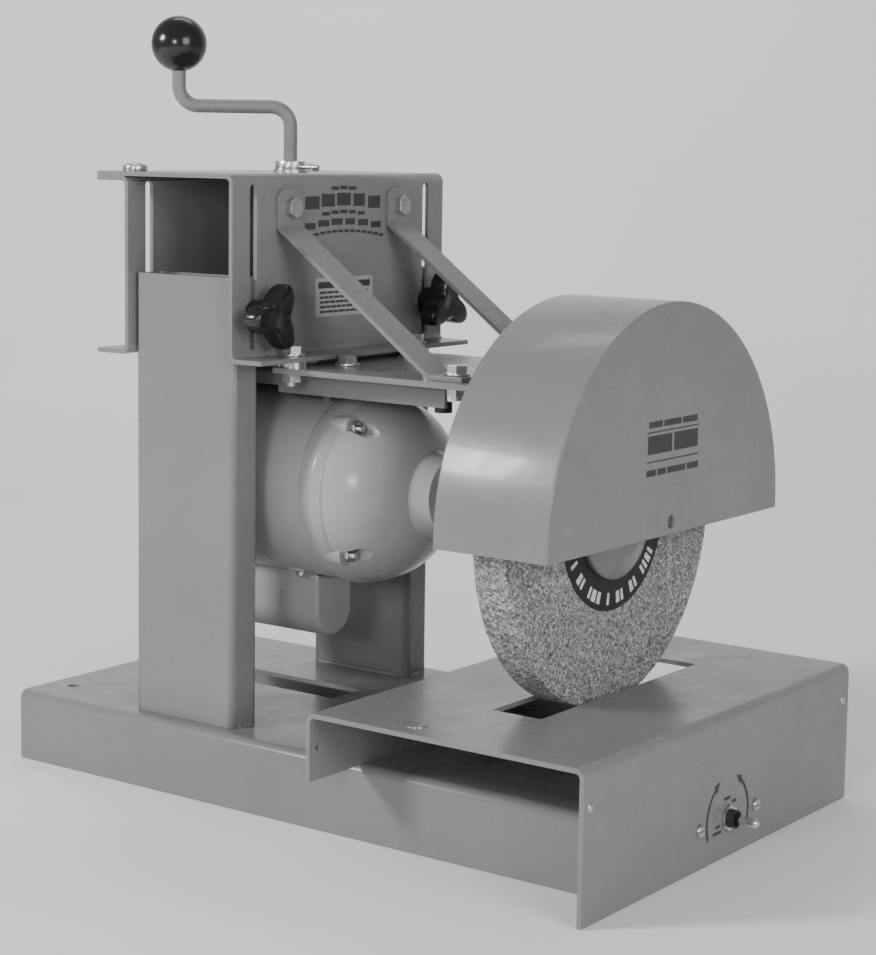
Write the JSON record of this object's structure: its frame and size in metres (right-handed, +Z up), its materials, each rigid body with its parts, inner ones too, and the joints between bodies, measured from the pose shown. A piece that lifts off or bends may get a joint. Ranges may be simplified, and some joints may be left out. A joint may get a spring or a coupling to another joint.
{
  "type": "rotary blade grinder",
  "caption": "Bench grinder with a direct-drive motor and guarded wheel hung from a carriage that a crank screw raises and lowers on two posts above a slotted work table.",
  "frame": {"origin": "middle of the bounding box, on the floor under the base", "axes": "+X along the spindle from the motor towards the grinding wheel, +Y towards the rear side of the base, +Z up"},
  "size_m": [0.549, 0.347, 0.545],
  "materials": {
    "enamel": "gloss",
    "zinc": "satin",
    "steel": "satin",
    "bronze": "satin",
    "chrome": "polished",
    "black_plastic": "gloss",
    "copper": "satin",
    "abrasive": "matte",
    "paper": "matte",
    "rubber": "matte"
  },
  "bodies": {
    "frame": {"base": "enamel", "front_post": "enamel", "rear_post": "enamel", "nut_bridge": "enamel", "lift_nut": "bronze", "work_table": "enamel", "table_plug": "zinc", "switch_box": "enamel", "switch_body": "black_plastic", "switch_nut": "zinc", "switch_screws": "zinc", "clamp_bolts": "zinc", "clamp_washers": "zinc"},
    "front_clamp_knob": {"front_knob": "black_plastic", "front_knob_insert": "zinc"},
    "rear_clamp_knob": {"rear_knob": "black_plastic", "rear_knob_insert": "zinc"},
    "switch_toggle": {"toggle_lever": "chrome"},
    "carriage": {"lift_bracket": "enamel", "back_channel": "enamel", "channel_bolts": "zinc", "screw_bushing": "zinc", "motor_plate": "enamel", "plate_spacers": "zinc", "plate_bolts": "zinc", "brace_front": "enamel", "brace_rear": "enamel", "brace_bolts": "zinc", "carriage_nuts": "zinc", "rear_end_bell": "enamel", "drive_end_bell": "enamel", "motor_shell": "enamel", "through_bolts": "zinc", "motor_base": "enamel", "motor_bolts": "zinc", "capacitor_cover": "enamel", "start_capacitor": "black_plastic", "cover_screws": "zinc", "stator_core": "steel", "stator_windings": "copper", "drive_bearing": "steel", "rear_bearing": "steel", "start_switch": "black_plastic", "lead_grommet": "rubber", "wheel_guard": "enamel", "guard_bracket": "enamel", "guard_bolts": "zinc"},
    "spindle": {"governor": "zinc", "motor_shaft": "steel", "rotor_core": "steel", "inner_flange": "steel", "grinding_wheel": "abrasive", "wheel_blotters": "paper", "outer_flange": "steel", "arbor_nut": "zinc"},
    "lift_crank": {"lead_screw": "steel", "screw_collars": "zinc", "collar_pin": "zinc", "crank_rod": "steel", "crank_ball": "black_plastic"}
  },
  "joints": [
    {"name": "carriage_lift", "type": "slide", "parent": "frame", "child": "carriage", "axis": [0, 0, 1], "range_m": [-0.026, 0.001]},
    {"name": "spindle_spin", "type": "hinge", "parent": "carriage", "child": "spindle", "pos_m": [0.1445, 0.0055, 0.212], "axis": [1, 0, 0], "continuous": true},
    {"name": "crank_turn", "type": "hinge", "parent": "carriage", "child": "lift_crank", "pos_m": [-0.12445, 0.0055, 0.4362], "axis": [0, 0, 1], "range_deg": [-5898, 229]},
    {"name": "front_knob_turn", "type": "hinge", "parent": "frame", "child": "front_clamp_knob", "pos_m": [-0.0615, -0.0925, 0.338], "axis": [1, 0, 0], "continuous": true},
    {"name": "rear_knob_turn", "type": "hinge", "parent": "frame", "child": "rear_clamp_knob", "pos_m": [-0.0615, 0.1035, 0.338], "axis": [1, 0, 0], "continuous": true},
    {"name": "switch_throw", "type": "hinge", "parent": "frame", "child": "switch_toggle", "pos_m": [0.2535, 0.0015, 0.026], "axis": [0, 0, 1], "range_deg": [-14, 14]}
  ],
  "couplings": [
    {"joint": "crank_turn", "follows": "carriage_lift", "rad_per_m": 3957.9}
  ]
}
